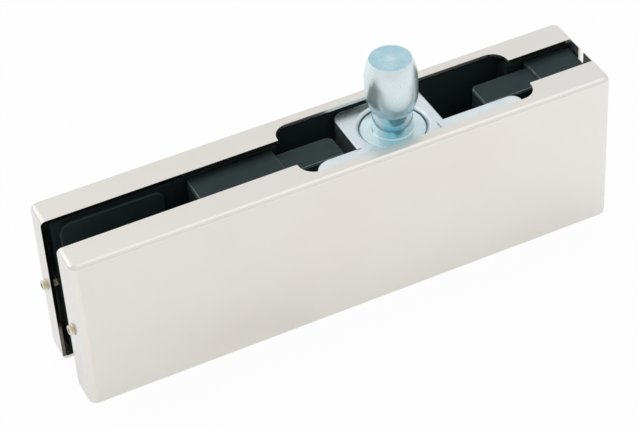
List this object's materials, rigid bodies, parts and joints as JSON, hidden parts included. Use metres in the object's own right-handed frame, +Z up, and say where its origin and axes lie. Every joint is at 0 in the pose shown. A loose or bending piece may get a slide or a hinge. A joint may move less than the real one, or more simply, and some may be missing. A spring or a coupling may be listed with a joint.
{
  "type": "glass door patch fitting",
  "caption": "Over-panel patch fitting for a frameless glass door: two black clamp halves in satin steel covers, with a sliding block that carries a barrel-headed pivot pin.",
  "frame": {"origin": "centre of the underside, the face that the covers stand on, halfway along the fitting and halfway through the glass gap", "axes": "+X along the fitting from the open end to the frame end, +Y through the glass from the front cover to the rear cover, +Z up along the pivot pin"},
  "size_m": [0.168, 0.031, 0.0711],
  "materials": {
    "cover_steel": "satin",
    "black_casting": "black coated casting",
    "black_rubber": "matte",
    "plated_block": "zinc plated",
    "plated_pin": "blue zinc plated, turned",
    "plated_steel": "zinc plated",
    "spring_steel": "phosphated spring steel",
    "brass_screw": "nickel plated brass"
  },
  "bodies": {
    "clamp": {"front_clamp_half": "black_casting", "rear_clamp_half": "black_casting", "front_cover": "cover_steel", "rear_cover": "cover_steel", "front_gasket": "black_rubber", "rear_gasket": "black_rubber", "clamp_screw_left": "plated_steel", "clamp_screw_middle": "plated_steel", "clamp_screw_right": "plated_steel", "clamp_nut_left": "plated_steel", "clamp_nut_middle": "plated_steel", "clamp_nut_right": "plated_steel", "cover_screw_front_left": "brass_screw", "cover_screw_front_right": "brass_screw", "cover_screw_rear_left": "brass_screw", "cover_screw_rear_right": "brass_screw"},
    "carriage": {"pivot_block": "plated_block", "lock_screw_left": "plated_steel", "lock_screw_right": "plated_steel"},
    "pin": {"pivot_pin": "plated_pin", "pin_washer": "plated_steel", "retaining_ring": "spring_steel"}
  },
  "joints": [
    {"name": "pivot_adjust", "type": "slide", "parent": "clamp", "child": "carriage", "axis": [1, 0, 0], "range_m": [-0.002, 0.002]},
    {"name": "pivot_turn", "type": "hinge", "parent": "carriage", "child": "pin", "pos_m": [0.0205, 0, 0.05], "axis": [0, 0, 1], "continuous": true}
  ]
}
